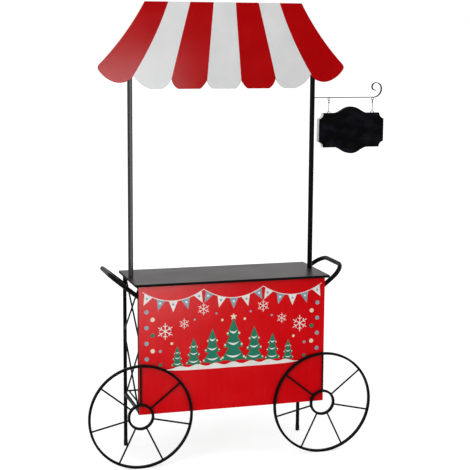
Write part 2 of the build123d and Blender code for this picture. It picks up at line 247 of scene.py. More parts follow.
# Foot caps and post caps. Moulded in black polyethylene, and pushed over the rear legs' lower ends
# and into the posts' open tops.
# Moulded polyethylene: a dull black with the fine matt grain of the mould and hardly any shine.
moulded_plastic = coated(
    "black_moulded_polyethylene",
    colours=("#080809", "#0e0e0f"),
    roughness=(0.42, 0.55),
    patch=14 * mm,
    grain=0.8 * mm,
    depth=0.03 * mm,
    IOR=1.51,
    Specular_IOR_Level=0.1,
)
dress(moulded_plastic, "foot_caps", "post_caps")

# Handles. One tube each, bent to a U and welded to the backs of an upright and a leg.
# They have the frame's powder coat.
handle_root = 674.5 * mm
handle_reach = 100.5 * mm
handle_rise = 81 * mm


def saddle_line(tube, tube_radius, aside, run, handle_radius):
    """The closed line where a slanting handle tube sits against the back of an upright tube."""
    steps = 48
    widest = math.acos((aside - handle_radius) / tube_radius)
    line = []
    for turn in turns(steps, 0.5):
        angle = widest * math.sin(turn)
        beside, behind = tube_radius * math.sin(angle), tube_radius * math.cos(angle)
        share = min((aside - behind) / handle_radius, 1)
        above = math.copysign(handle_radius * math.sqrt(1 - share**2), math.cos(turn))
        travel = (beside + above * run.z) / run.x
        line.append(tube + Vector((beside, behind, travel * run.z + above * run.x)))
    return line


for name, side in sides.items():
    dress(powder_coat, f"handle_{name}")
    upright, leg = middle_of(f"front_upright_{name}"), middle_of(f"rear_leg_{name}")
    low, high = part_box(f"handle_{name}")
    handle_radius = (high.y - low.y - (leg.y - upright.y)) / 2
    aside = low.y + handle_radius - upright.y
    run = Vector((side * handle_reach, 0, handle_rise)).normalized()
    welds = bmesh.new()
    for tube in (upright, leg):
        root = Vector((tube.x, tube.y, handle_root))
        line = saddle_line(root, tube_radius, aside, run, handle_radius)
        bead(welds, line, root + forward * tube_radius, bead_size)
    show(f"handle_welds_{name}", welds, [powder_coat])

# Shelf. A thin fibreboard with eased edges, its top rolled with satin black lacquer and the rest
# brushed matt black. It is screwed down to the upper side rails from below.
shelf_low, shelf_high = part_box("shelf_top")
shelf_half = (shelf_high - shelf_low) / 2
shelf_corner = 3 * mm
shelf_ease = 1.2 * mm


def eased_edge(low, high, rounding):
    """A board's edge from one face to the other over rounded corners, as pairs of inset and level."""
    steps = 4
    quarter = [math.pi / 2 * step / steps for step in range(steps + 1)]
    edge = [(rounding * (1 - math.cos(t)), low + rounding * (1 - math.sin(t))) for t in reversed(quarter)]
    return edge + [(rounding * (1 - math.cos(t)), high - rounding * (1 - math.sin(t))) for t in quarter]


def shelf_ring(mesh, inset, height):
    """One turn of vertices round the board, drawn in from its sides, with round corners."""
    arc_steps = 6
    ring = []
    for quarter, (right, back) in enumerate(((1, 1), (-1, 1), (-1, -1), (1, -1))):
        for step in range(arc_steps + 1):
            turn = math.pi / 2 * (quarter + step / arc_steps)
            x = right * (shelf_half.x - shelf_corner) + (shelf_corner - inset) * math.cos(turn)
            y = back * (shelf_half.y - shelf_corner) + (shelf_corner - inset) * math.sin(turn)
            ring.append(mesh.verts.new((x, y, height)))
    return ring


def streaked(material, sizes, colour, strength):
    """Lays soft streaks of another colour over a finish. The sizes are the streaks' along X, Y and Z."""
    shader = material.node_tree.nodes["Principled BSDF"]
    base = shader.inputs["Base Color"].links[0].from_socket
    place = add(material, "TexCoord").outputs["Object"]
    stretched = {"Vector": place, "Scale": [1 / size for size in sizes]}
    stretched = add(material, "Mapping", stretched).outputs["Vector"]
    streaks = add(material, "TexNoise", {"Vector": stretched, "Scale": 1, "Detail": 3}).outputs["Fac"]
    amount = {"Value": streaks, "From Min": 0.45, "From Max": 0.75, "To Max": strength}
    amount = add(material, "MapRange", amount).outputs["Result"]
    mixed = {"Factor": amount, "A": base, "B": linear(colour)}
    mixed = add(material, "Mix", mixed, data_type="RGBA").outputs["Result"]
    material.node_tree.links.new(mixed, shader.inputs["Base Color"])


board = bmesh.new()
edge = eased_edge(shelf_low.z, shelf_high.z, shelf_ease)
rings = [shelf_ring(board, inset, height) for inset, height in edge]
lacquered, painted = 0, 1
for level, row in enumerate(skin(board, rings)):
    for face in row:
        face.material_index = lacquered if level > len(edge) / 2 else painted
board.faces.new(rings[0]).material_index = painted
board.faces.new(rings[-1]).material_index = lacquered
# Satin lacquer on fibreboard: a brown-black, with long faint roller marks that show where light grazes it.
satin_lacquer = coated(
    "black_satin_lacquer",
    colours=("#1d1313", "#231818"),
    roughness=(0.32, 0.38),
    patch=160 * mm,
    grain=5 * mm,
    depth=0.05 * mm,
    IOR=1.5,
    Specular_IOR_Level=0.11,
)
streaked(satin_lacquer, sizes=(240 * mm, 9 * mm, 9 * mm), colour="#2a1d1d", strength=0.6)
# Matt paint on the board's edges: black, dull and slightly rough from the cut fibres.
matt_paint = coated(
    "black_matt_edge_paint",
    colours=("#080808", "#0e0d0d"),
    roughness=(0.6, 0.75),
    patch=40 * mm,
    grain=1.2 * mm,
    depth=0.05 * mm,
    IOR=1.5,
    Specular_IOR_Level=0.05,
)
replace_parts(show("shelf_top_lacquered", board, [satin_lacquer, matt_paint]), "shelf_top")

# Front panel. A fibreboard sprayed red on its face and printed, with black edges and bare primer behind.
# It is screwed to the uprights from the back, and its edges are eased with fine paper.
# Sprayed lacquer: an even warm red with faint upright streaks and a soft, low shine.
red_lacquer = coated(
    "red_sprayed_lacquer",
    colours=("#d20009", "#d8020e"),
    roughness=(0.22, 0.3),
    patch=120 * mm,
    grain=3 * mm,
    depth=0.03 * mm,
    IOR=1.45,
    Specular_IOR_Level=0.04,
)
streaked(red_lacquer, sizes=(11 * mm, 11 * mm, 260 * mm), colour="#b8020a", strength=0.35)
lacquer_shader = red_lacquer.node_tree.nodes["Principled BSDF"]
panel_colour = lacquer_shader.inputs["Base Color"].links[0].from_socket
facing = add(red_lacquer, "TexCoord").outputs["Normal"]
facing = add(red_lacquer, "SeparateXYZ", {"Vector": facing}).outputs["Y"]
edge_black = "#0e0d0d"
back_primer = "#cbc7bf"
# A coat takes over as the surface turns from the front, which is -1, to the edges, 0, or the back, 1.
for starts, full, coat in ((-0.6, -0.5, edge_black), (0.7, 0.8, back_primer)):
    turned_away = {"Value": facing, "From Min": starts, "From Max": full}
    turned_away = add(red_lacquer, "MapRange", turned_away).outputs["Result"]
    panel_colour = {"Factor": turned_away, "A": panel_colour, "B": linear(coat)}
    panel_colour = add(red_lacquer, "Mix", panel_colour, data_type="RGBA").outputs["Result"]
red_lacquer.node_tree.links.new(panel_colour, lacquer_shader.inputs["Base Color"])
same_point = 0.01 * mm
panel = bmesh.new()
panel.from_mesh(nodes["front_panel"].data)
bmesh.ops.remove_doubles(panel, verts=panel.verts, dist=same_point)
panel_piece = show("front_panel_lacquered", panel, [red_lacquer])
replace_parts(panel_piece, "front_panel")
eased = panel_piece.modifiers.new("eased_edges", "BEVEL")
eased.width = 0.8 * mm
eased.segments = 3
eased.limit_method = "ANGLE"
eased.harden_normals = True

# Print on the panel. Screen-printed inks laid in two passes, each a thin film on the red lacquer:
# a bunting, fir trees in a snow drift, snowflakes and dots. Their places and sizes are in millimetres.
panel_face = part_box("front_panel")[0].y
ink_film = 0.12 * mm
inks = {ink: bmesh.new() for ink in ("white", "blue", "green", "cream")}
on_top = 2


def print_shape(ink, outline, layer=1):
    """Prints one closed outline, as points across and up, in one ink. A layer over another is thicker."""
    mesh = inks[ink]
    front, back = panel_face - layer * ink_film, panel_face + ink_film / 2
    rims = [[mesh.verts.new((x * mm, depth, z * mm)) for x, z in outline] for depth in (front, back)]
    for rim in rims:
        mesh.faces.new(rim)
    skin(mesh, rims, smooth=False)


def set_at(x, z, turn, outline):
    """An outline turned by an angle and set down at a place."""
    cosine, sine = math.cos(turn), math.sin(turn)
    return [(x + a * cosine - b * sine, z + a * sine + b * cosine) for a, b in outline]


def span(steps):
    """Shares from -1 to 1 in equal steps."""
    return [2 * step / steps - 1 for step in range(steps + 1)]


def print_dot(ink, x, z, radius, layer=1):
    """A round dot."""
    corners = 32
    outline = [(x + radius * math.cos(turn), z + radius * math.sin(turn)) for turn in turns(corners)]
    print_shape(ink, outline, layer)


def print_star(ink, x, z, radius, layer=1):
    """A star with five points."""
    points, waist = 5, 0.45
    outline = []
    for step, turn in enumerate(turns(2 * points)):
        reach = radius * (waist if step % 2 else 1)
        outline.append((reach * math.cos(turn), reach * math.sin(turn)))
    print_shape(ink, set_at(x, z, math.pi / 2, outline), layer)


def print_flake(x, z, radius):
    """A six-armed snowflake with one pair of barbs on each arm."""
    arms = 6
    half = 0.045 * radius
    barb, notch, root = 0.26 * radius, 0.14 * radius, 0.5 * radius
    slant = math.radians(60)
    along, off = barb * math.cos(slant), barb * math.sin(slant)
    thick = 2 * half / math.sin(slant)
    side = [
        (notch, half),
        (root, half),
        (root + along, half + off),
        (root + along + thick, half + off),
        (root + thick, half),
        (radius, half),
    ]
    side += [(reach, -away) for reach, away in reversed(side)]
    points = []
    for arm in turns(arms):
        points += set_at(x, z, math.pi / 2 - arm, side)
    print_shape("white", points)


def print_fir(x, base, height):
    """A fir tree of three tiers on a short trunk, with a white garland and baubles on each tier."""
    trunk = 0.09 * height
    half = 0.27 * height
    stem = 0.055 * height
    # Each tier's foot and tip as shares of the crown, and its width as a share of the tree's.
    tiers = ((0, 0.5, 1), (0.3, 0.78, 0.78), (0.58, 1, 0.54))
    foot, top = base + trunk, base + height
    crown = height - trunk
    right = []
    for (low_share, high_share, width), upper_tier in zip(tiers, tiers[1:]):
        low_edge, next_low = foot + low_share * crown, foot + upper_tier[0] * crown
        slope = (high_share - low_share) * crown / (half * width)
        right += [(half * width, low_edge), (half * width - (next_low - low_edge) / slope, next_low)]
    low_share, high_share, width = tiers[-1]
    right.append((half * width, foot + low_share * crown))
    left = [(-away, up) for away, up in reversed(right)]
    outline = [(stem, base), (stem, foot), *right, (0, top), *left, (-stem, foot), (-stem, base)]
    print_shape("green", [(x + away, up) for away, up in outline])
    sag, band = 0.06 * height, 0.022 * height
    bauble, bauble_drop = 0.024 * height, 0.01 * height
    garland_reach, bauble_reach, garland_rise = 0.62 * half, 0.86 * half, 0.16
    steps = span(12)
    for low_share, high_share, width in tiers:
        reach = garland_reach * width
        level = foot + (low_share + garland_rise * (high_share - low_share)) * crown
        lower = [(x + reach * s, level + sag * s * s - band * (1 - s * s)) for s in steps]
        upper = [(x + reach * s, level + sag * s * s + band * (1 - s * s)) for s in reversed(steps[1:-1])]
        print_shape("white", lower + upper, on_top)
        for end in (-1, 1):
            print_dot("cream", x + end * bauble_reach * width, level - bauble_drop, bauble, on_top)


bunting_top = 699
bunting_sag = 40
bunting_posts = (-366, -122, 122, 366)
cord_half = 1.5
cord_steps = 24
pennants = 5
pennant_width = 36
pennant_height = 44
pennant_dot = 4.5
pennant_dot_drop = 14
for swag, (start, end) in enumerate(zip(bunting_posts, bunting_posts[1:])):
    half_span = (end - start) / 2
    centre = (start + end) / 2
    cord = [(centre + half_span * s, bunting_top - bunting_sag * (1 - s * s)) for s in span(cord_steps)]
    cord_edges = [(x, z - cord_half) for x, z in cord] + [(x, z + cord_half) for x, z in reversed(cord)]
    print_shape("white", cord_edges, on_top)
    for place in range(pennants):
        share = 2 * (place + 0.5) / pennants - 1
        turn = math.atan(2 * bunting_sag * share / half_span)
        x, z = centre + half_span * share, bunting_top - bunting_sag * (1 - share * share)
        flag = [(-pennant_width / 2, 0), (0, -pennant_height), (pennant_width / 2, 0)]
        flag_ink, dot_ink = ("blue", "white") if (place + swag) % 2 else ("white", "blue")
        print_shape(flag_ink, set_at(x, z, turn, flag))
        dot_place = set_at(x, z, turn, [(0, -pennant_dot_drop)])[0]
        print_dot(dot_ink, *dot_place, pennant_dot, on_top)

drift_half = 276
drift_base = 386
drift_steps = 60
drift_hills = 7.5
drift_height, hill_height, drift_belly = 11, 5, 7
drift_top, drift_low = [], []
for s in span(drift_steps):
    fullness = 1 - s**6
    hills = drift_height + hill_height * math.cos(drift_hills * math.pi * s)
    drift_top.append((drift_half * s, drift_base + hills * fullness))
    drift_low.append((drift_half * s, drift_base - drift_belly * fullness))
print_shape("white", drift_top + drift_low[-2:0:-1], on_top)
fir_foot = drift_base + 5
fir_places = ((0, 188), (86, 150), (162, 118), (228, 88))
for x, height in fir_places:
    for side in (-1, 1) if x else (1,):
        print_fir(side * x, fir_foot, height)
star_height, star_radius = 192, 15
print_star("cream", 0, fir_foot + star_height, star_radius, on_top)
flakes = ((122, 620, 25), (276, 540, 33), (200, 566, 21))
edge_dots, edge_dot, edge_dot_top, edge_dot_step = 7, 8.5, 620, 31
edge_dot_inks = ("blue", "cream", "blue", "green")
edge_dot_columns = (350, 326)
loose_dots = ((46, 572, 5, "cream"), (250, 490, 5.5, "cream"), (158, 580, 4.5, "blue"))
loose_dots += ((296, 462, 6, "blue"), (296, 408, 7, "green"), (70, 600, 4.5, "blue"))
for side in (-1, 1):
    for x, z, radius in flakes:
        print_flake(side * x, z, radius)
    for place in range(edge_dots):
        x, z = edge_dot_columns[place % 2], edge_dot_top - edge_dot_step * place
        print_dot(edge_dot_inks[place % 4], side * x, z, edge_dot)
    for x, z, radius, ink in loose_dots:
        print_dot(ink, side * x, z, radius)

# Screen ink: an even satin film, a little lighter and darker where the screen held more or less ink.
ink_colours = {
    "white": ("#e2dfda", "#eeece8"),
    "blue": ("#7f9aa6", "#8ca7b2"),
    "green": ("#0a6f54", "#127c60"),
    "cream": ("#e0d2b4", "#ebdfc6"),
}
panel_faces = [panel_piece]
for ink, mesh in inks.items():
    ink_finish = coated(
        f"{ink}_screen_ink",
        colours=ink_colours[ink],
        roughness=(0.4, 0.5),
        patch=30 * mm,
        grain=2 * mm,
        depth=0.02 * mm,
        IOR=1.5,
        Specular_IOR_Level=0.04,
    )
    panel_faces.append(show(f"panel_print_{ink}", mesh, [ink_finish]))

# Wheels. A flat bar bent to a ring for the rim and one for the open hub, with seven straight rods
# welded between them. They have the frame's powder coat and don't turn.
spokes = 7
spoke_bead = 1 * mm
spoke_weld_steps = 28
for name in sides:
    dress(powder_coat, *[f"wheel_{node}_{name}" for node in ("rim", "hub_ring", "spokes")])
    centre = middle_of(f"wheel_rim_{name}")
    rim_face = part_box(f"wheel_spokes_{name}")[1].z - centre.z
    hub_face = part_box(f"wheel_hub_ring_{name}")[1].z - centre.z
    welds = bmesh.new()
    for spoke in turns(spokes):
        cosine, sine = math.cos(math.pi / 2 + spoke), math.sin(math.pi / 2 + spoke)
        outward, tangent = Vector((cosine, 0, sine)), Vector((-sine, 0, cosine))
        for face_radius in (rim_face, hub_face):
            line = []
            for turn in turns(spoke_weld_steps):
                beside, ahead = rod_radius * math.cos(turn), rod_radius * math.sin(turn)
                reach = math.sqrt(face_radius**2 - beside**2)
                line.append(centre + reach * outward + beside * tangent + ahead * forward)
            bead(welds, line, centre + face_radius * outward, spoke_bead)
    show(f"wheel_welds_{name}", welds, [powder_coat])

# Wheel bolts, washers and nuts. Blackened steel button-head bolts with hexagon sockets hold each wheel
# through the panel to its upright, with a washer under the wheel and a nut behind the tube.


def circle(radius):
    """A round section."""
    return lambda turn: radius


def hexagon(flat):
    """A six-sided section with its flats at that distance."""
    return lambda turn: flat / math.cos((turn + math.pi / 6) % (math.pi / 3) - math.pi / 6)


def cross_slot(length, half):
    """The section of a cross recess."""
    least = 0.001

    def reach(turn):
        large, small = sorted((abs(math.cos(turn)), abs(math.sin(turn))), reverse=True)
        return min(length / large, half / max(small, least))

    return reach


def trimmed(section, radius):
    """A section whose corners are turned down to a radius."""
    return lambda turn: min(section(turn), radius)


def turned(mesh, origin, axis, levels, closed=False):
    """Skins sections (height along the axis, section) in turn. A closed one joins its last to its first."""
    corners = 24
    first = axis.orthogonal().normalized()
    second = axis.cross(first)
    arms = [(turn, math.cos(turn) * first + math.sin(turn) * second) for turn in turns(corners)]
    rings = []
    for height, section in levels:
        rings.append([mesh.verts.new(origin + axis * height + arm * section(turn)) for turn, arm in arms])
    skin(mesh, rings, closed, smooth=False)
    if not closed:
        for ring in (rings[0], rings[-1]):
            mesh.faces.new(ring)


def button_head(mesh, seat, out, radius, height, socket, shank, length):
    """A domed bolt with a hexagon socket. The seat is under the head, and out is where the head faces."""
    chamfer = 0.3 * mm
    levels = [
        (0.45 * height, hexagon(socket)),
        (0.95 * height, hexagon(socket)),
        (height, circle(1.25 * socket)),
        (0.94 * height, circle(0.62 * radius)),
        (0.72 * height, circle(0.85 * radius)),
        (0.4 * height, circle(0.97 * radius)),
        (0.1 * height, circle(radius)),
        (0, circle(0.97 * radius)),
        (0, circle(shank)),
        (chamfer - length, circle(shank)),
        (-length, circle(0.8 * shank)),
    ]
    turned(mesh, seat, out, levels)


def flat_ring(bore, face, rim, chamfer, height):
    """The sections of a washer or nut, from its bore over chamfered edges and back to its bore."""
    return [(0, bore), (0, face), (chamfer, rim), (height - chamfer, rim), (height, face), (height, bore)]


# Black oxide on steel: a dull, dark metal with an oily shine.
black_oxide = coated(
    "black_oxide_steel",
    colours=("#1b1b1d", "#27272a"),
    roughness=(0.36, 0.5),
    patch=4 * mm,
    grain=0.6 * mm,
    depth=0.01 * mm,
    Metallic=1.0,
)
bolt_low, bolt_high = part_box("wheel_bolts")
nut_low, nut_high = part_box("wheel_nuts")
washer_low, washer_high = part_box("wheel_washers")
bolt_head = 2.2 * mm
bolt_head_radius = 3.8 * mm
bolt_radius = 2 * mm
bolt_socket = 1.25 * mm
bolt_seat = bolt_low.y + bolt_head
bolt_length = bolt_high.y - bolt_seat
bolt_heights = (bolt_low.z + bolt_head_radius, bolt_high.z - bolt_head_radius)
bolt_sides = (bolt_low.x + bolt_head_radius, bolt_high.x - bolt_head_radius)
bore_clearance = 0.1 * mm
bore = circle(bolt_radius + bore_clearance)
nut_flat = 3.5 * mm
nut_corner = 3.9 * mm
nut_chamfer = 0.35 * mm
nut_height = nut_high.y - nut_low.y
nut_rim = trimmed(hexagon(nut_flat), nut_corner)
nut = flat_ring(bore, circle(nut_flat), nut_rim, nut_chamfer, nut_height)
washer_rounding = 0.15 * mm
washer_height = washer_high.y - washer_low.y
washer_face = circle(bolt_head_radius - washer_rounding)
washer = flat_ring(bore, washer_face, circle(bolt_head_radius), washer_rounding, washer_height)
fasteners = {piece: bmesh.new() for piece in ("bolts", "washers", "nuts")}
bolt_sizes = (bolt_head_radius, bolt_head, bolt_socket, bolt_radius, bolt_length)
for x in bolt_sides:
    for z in bolt_heights:
        button_head(fasteners["bolts"], Vector((x, bolt_seat, z)), -forward, *bolt_sizes)
        turned(fasteners["washers"], Vector((x, washer_low.y, z)), forward, washer, closed=True)
        turned(fasteners["nuts"], Vector((x, nut_low.y, z)), forward, nut, closed=True)
for piece, mesh in fasteners.items():
    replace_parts(show(f"wheel_{piece}_dressed", mesh, [black_oxide]), f"wheel_{piece}")

# Screws and post bolts. Zinc-plated pan-head screws with cross recesses hold the boards from behind,
# and a socket bolt from under each upper rail pulls a post down onto the shelf.


def pan_head(mesh, seat, out, radius, height, shank, length):
    """A pan-head screw with a cross recess and a pointed end."""
    levels = [
        (0.3 * height, cross_slot(0.3 * radius, 0.1 * radius)),
        (0.98 * height, cross_slot(0.5 * radius, 0.14 * radius)),
        (height, circle(0.6 * radius)),
        (0.86 * height, circle(0.84 * radius)),
        (0.5 * height, circle(0.98 * radius)),
        (0, circle(radius)),
        (0, circle(shank)),
        (2 * shank - length, circle(shank)),
        (-length, circle(0.15 * shank)),
    ]
    turned(mesh, seat, out, levels)


# Zinc plate: a bright grey metal, slightly blue, cloudy from the bath.
zinc_plate = coated(
    "zinc_plated_steel",
    colours=("#a9adb2", "#c2c5c8"),
    roughness=(0.28, 0.42),
    patch=5 * mm,
    grain=0.7 * mm,
    depth=0.01 * mm,
    Metallic=1.0,
)
screw_head = 2 * mm
screw_head_radius = 3.5 * mm
screw_radius = 1.75 * mm
middle_screw = 558.25 * mm
frame_half = middle_of("front_upright_right").x
upright_back = middle_of("front_upright_left").y + tube_radius
rail_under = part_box("side_top_rail_left")[0].z


def screwed(screws, seats, out, length):
    """Sets a board's screws at both ends of the frame. Their seats are places back and up."""
    mesh = bmesh.new()
    for x in (-frame_half, frame_half):
        for y, z in seats:
            pan_head(mesh, Vector((x, y, z)), out, screw_head_radius, screw_head, screw_radius, length)
    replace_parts(show(f"{screws}_dressed", mesh, [zinc_plate]), screws)


low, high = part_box("panel_screws")
heights = (low.z + screw_head_radius, middle_screw, high.z - screw_head_radius)
screwed("panel_screws", [(upright_back, z) for z in heights], forward, upright_back - low.y)
low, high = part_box("shelf_screws")
depths = (low.y + screw_head_radius, high.y - screw_head_radius)
screwed("shelf_screws", [(y, rail_under) for y in depths], -upward, high.z - rail_under)
low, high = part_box("roof_screws")
heights = (low.z + screw_head_radius, high.z - screw_head_radius)
post_back = high.y - screw_head
screwed("roof_screws", [(post_back, z) for z in heights], forward, post_back - low.y)
low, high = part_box("post_bolts")
post_bolt_head = 3 * mm
post_bolt_radius = 3 * mm
post_bolt_socket = 2 * mm
post_bolt_seat = low.z + post_bolt_head
post_bolt_length = high.z - post_bolt_seat
post_bolt_sizes = (2 * post_bolt_radius, post_bolt_head, post_bolt_socket, post_bolt_radius, post_bolt_length)
bolts = bmesh.new()
for x in (-frame_half, frame_half):
    seat = Vector((x, middle_of("post_left").y, post_bolt_seat))
    button_head(bolts, seat, -upward, *post_bolt_sizes)
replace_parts(show("post_bolts_dressed", bolts, [zinc_plate]), "post_bolts")
dress(zinc_plate, "post_plugs")

# Posts. Two straight steel tubes which stand on the shelf's ends. The right one has the frame's powder coat,
# and the left one a lit copy of it with painted sheen.
# Each is held down by a bolt that goes up through the shelf into a plug.
dress(powder_coat, "post_right")
# Painted sheen: a lit copy of the frame's powder coat, a paler black with a brighter shine, that paints onto
# the left post the light it catches.
painted_sheen_coat = coated(
    "black_powder_coat_painted_sheen",
    colours=("#080808", "#0e0e0f"),
    roughness=(0.34, 0.44),
    patch=70 * mm,
    grain=2.4 * mm,
    depth=0.01 * mm,
    IOR=1.5,
    Specular_IOR_Level=0.3,
)
# The left post wears the lit copy: its paler black and stronger shine are painted sheen.
dress(painted_sheen_coat, "post_left")

# Roof board. One fibreboard cut to the outline of a scalloped awning, primed white and printed with
# seven red and white stripes that run over its edges. It is screwed to the fronts of the posts.


def face_loops(node, depth):
    """The edge loops of a node's flat face at a depth, as points across and up, the longest one first."""
    mesh = bmesh.new()
    mesh.from_mesh(nodes[node].data)
    bmesh.ops.remove_doubles(mesh, verts=mesh.verts, dist=same_point)
    flat = {face for face in mesh.faces if all(abs(vert.co.y - depth) < same_point for vert in face.verts)}
    edges = [edge for edge in mesh.edges if len(flat.intersection(edge.link_faces)) == 1]
    loops = []
    while edges:
        start, vert = edges.pop().verts
        loop = [start.co.xz, vert.co.xz]
        while True:
            following = next((link for link in vert.link_edges if link in edges), None)
            if following is None:
                break
            edges.remove(following)
            vert = following.other_vert(vert)
            loop.append(vert.co.xz)
        loops.append([point.copy() for point in loop[:-1]])
    mesh.free()
    loops.sort(key=len, reverse=True)
    return loops


def leftward(loop):
    """A loop turned to run anticlockwise across and up."""
    area = sum(a.x * b.y - b.x * a.y for a, b in zip(loop, loop[1:] + loop[:1]))
    return loop if area > 0 else loop[::-1]


def drawn_in(loop, amount):
    """A loop moved in by an amount, to the left of its run."""
    sharpest = 0.5
    moved = []
    for place, point in enumerate(loop):
        before = (point - loop[place - 1]).normalized()
        after = (loop[(place + 1) % len(loop)] - point).normalized()
        normal = Vector((-before.y - after.y, before.x + after.x))
        stretch = max(normal.length_squared / 2, sharpest)
        moved.append(point + normal * amount / stretch)
    return moved


def edge_rings(mesh, loop, front, back, rounding):
    """The rings of vertices round a board's edge, from its front face over rounded corners to its back."""
    rings = []
    for inset, depth in eased_edge(front, back, rounding):
        rings.append([mesh.verts.new((point.x, depth, point.y)) for point in drawn_in(loop, inset)])
    return rings


roof_low, roof_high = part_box("roof_board")
# Each line between two stripes of the right half has a top, a waist and the notch where it ends.
stripe_tops = (44.7 * mm, 138.5 * mm, 226 * mm)
stripe_waists = (55.6 * mm, 172.8 * mm, 281 * mm)
waist_height = 1666 * mm
notches = ((69.6 * mm, 1500 * mm), (212.4 * mm, 1507 * mm), (361.2 * mm, 1521 * mm))
right_lines = list(zip(stripe_tops, stripe_waists, notches))
stripe_lines = [(-top, -waist, (-x, z)) for top, waist, (x, z) in reversed(right_lines)] + right_lines
outline = leftward(face_loops("roof_board", roof_low.y)[0])
up_and_right = Vector((1, 4))
top_right = max(range(len(outline)), key=lambda place: outline[place].dot(up_and_right))
outline = outline[top_right:] + outline[:top_right]
outline[1:1] = [Vector((top, roof_high.z)) for top, waist, notch in reversed(stripe_lines)]


def nearest(point):
    """The place of the outline's point that is nearest to a point."""
    return min(range(len(outline)), key=lambda place: (outline[place] - Vector(point)).length)


ends = [(nearest((top, roof_high.z)), nearest(notch)) for top, waist, notch in stripe_lines]
top_edge_above = roof_high.z - 1 * mm
scallops_below = notches[-1][1] + 60 * mm


def stripe_at(place):
    """The stripe, counted from the left, that holds the outline's run up to a point."""
    middle = (outline[place - 1] + outline[place]) / 2
    if middle.y > top_edge_above:
        return sum(middle.x > top for top, waist, notch in stripe_lines)
    if middle.y > scallops_below:
        return 0 if middle.x < 0 else len(stripe_lines)
    return sum(middle.x > notch[0] for top, waist, notch in stripe_lines)


roof = bmesh.new()
roof_rounding = 0.8 * mm
rings = edge_rings(roof, outline, roof_low.y, roof_high.y, roof_rounding)
for row in skin(roof, rings):
    for place, face in enumerate(row):
        face.material_index = stripe_at(place) % 2
front = rings[0]
line_steps = 12
lines = []
for (top, waist, notch), (high_end, low_end) in zip(stripe_lines, ends):
    start, finish = front[high_end].co.xz, front[low_end].co.xz
    waist_share = (start.y - waist_height) / (start.y - finish.y)
    sag = waist - (start.x + (finish.x - start.x) * waist_share)
    line = [front[high_end]]
    for step in range(1, line_steps):
        share = step / line_steps
        x, z = start.lerp(finish, share)
        x += sag * share * (1 - share) / (waist_share * (1 - waist_share))
        line.append(roof.verts.new((x, roof_low.y, z)))
    lines.append(line + [front[low_end]])
for stripe in range(len(lines) + 1):
    if stripe == 0:
        first, last = ends[0]
        corners = front[first : last + 1] + lines[0][-2:0:-1]
    elif stripe == len(lines):
        first, last = ends[-1]
        corners = front[last:] + front[: first + 1] + lines[-1][1:-1]
    else:
        (left_top, left_low), (right_top, right_low) = ends[stripe - 1], ends[stripe]
        corners = front[left_low : right_low + 1] + lines[stripe][-2:0:-1]
        corners += front[right_top : left_top + 1] + lines[stripe - 1][1:-1]
    roof.faces.new(corners).material_index = stripe % 2
primed = 2
roof.faces.new(rings[-1]).material_index = primed

# Printed lacquer: a full red, darker than the panel's, and a cool white, both satin.
roof_red = coated(
    "red_printed_lacquer",
    colours=("#a50003", "#ae0205"),
    roughness=(0.16, 0.22),
    patch=110 * mm,
    grain=3 * mm,
    depth=0.03 * mm,
    IOR=1.45,
    Specular_IOR_Level=0.035,
)
streaked(roof_red, sizes=(60 * mm, 60 * mm, 200 * mm), colour="#9e0003", strength=0.4)
roof_white = coated(
    "white_printed_lacquer",
    colours=("#d3d4d4", "#dcdcdc"),
    roughness=(0.22, 0.3),
    patch=80 * mm,
    grain=3 * mm,
    depth=0.03 * mm,
    IOR=1.45,
    Specular_IOR_Level=0.04,
)
# Primer: one thin matt white coat, through which the board's fibres show a little.
board_primer = coated(
    "white_board_primer",
    colours=("#cfcbc3", "#dbd8d1"),
    roughness=(0.55, 0.7),
    patch=25 * mm,
    grain=1.6 * mm,
    depth=0.05 * mm,
    IOR=1.45,
    Specular_IOR_Level=0.25,
)
roof_piece = show("roof_board_striped", roof, [roof_red, roof_white, board_primer])
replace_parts(roof_piece, "roof_board")

# Sign bracket. One flat steel strip, scrolled cold at its end, welded to the right post and powder coated.
# Two wire eyelets are welded under it.
dress(powder_coat, "sign_bracket")
low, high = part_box("sign_bracket")
strip_half = (high.y - low.y) / 2
strip_thickness = 3 * mm
bracket_height = 1427 * mm
bracket_bead = 0.9 * mm
bracket_weld_steps = 24
low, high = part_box("post_right")
post_middle = (low + high) / 2
post_radius = (high.x - low.x) / 2
rim = []
for turn in turns(bracket_weld_steps, 0.5):
    reach = 1 / max(abs(math.cos(turn)), abs(math.sin(turn)))
    y = strip_half * reach * math.cos(turn)
    z = strip_thickness / 2 * reach * math.sin(turn)
    x = math.sqrt(post_radius**2 - y**2)
    rim.append(Vector((post_middle.x + x, post_middle.y + y, bracket_height + z)))
welds = bmesh.new()
bead(welds, rim, Vector((post_middle.x + post_radius, post_middle.y, bracket_height)), bracket_bead)
low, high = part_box("bracket_eyelets")
eyelet_reach = 6 * mm
eyelet_tack = 0.7 * mm
eyelet_tack_length = 6 * mm
eyelet_tack_outset = 0.9 * mm
eyelet_tack_drop = 0.2 * mm
eyelet_tack_height = bracket_height - strip_thickness / 2 - eyelet_tack_drop
for x in (low.x + eyelet_reach, high.x - eyelet_reach):
    core = Vector((x, post_middle.y, eyelet_tack_height - 1 * mm))
    for y in (-eyelet_tack_outset, eyelet_tack_outset):
        spot = Vector((x, post_middle.y + y, eyelet_tack_height))
        tack(welds, spot, across, core, eyelet_tack_length, eyelet_tack)
show("bracket_welds", welds, [powder_coat])

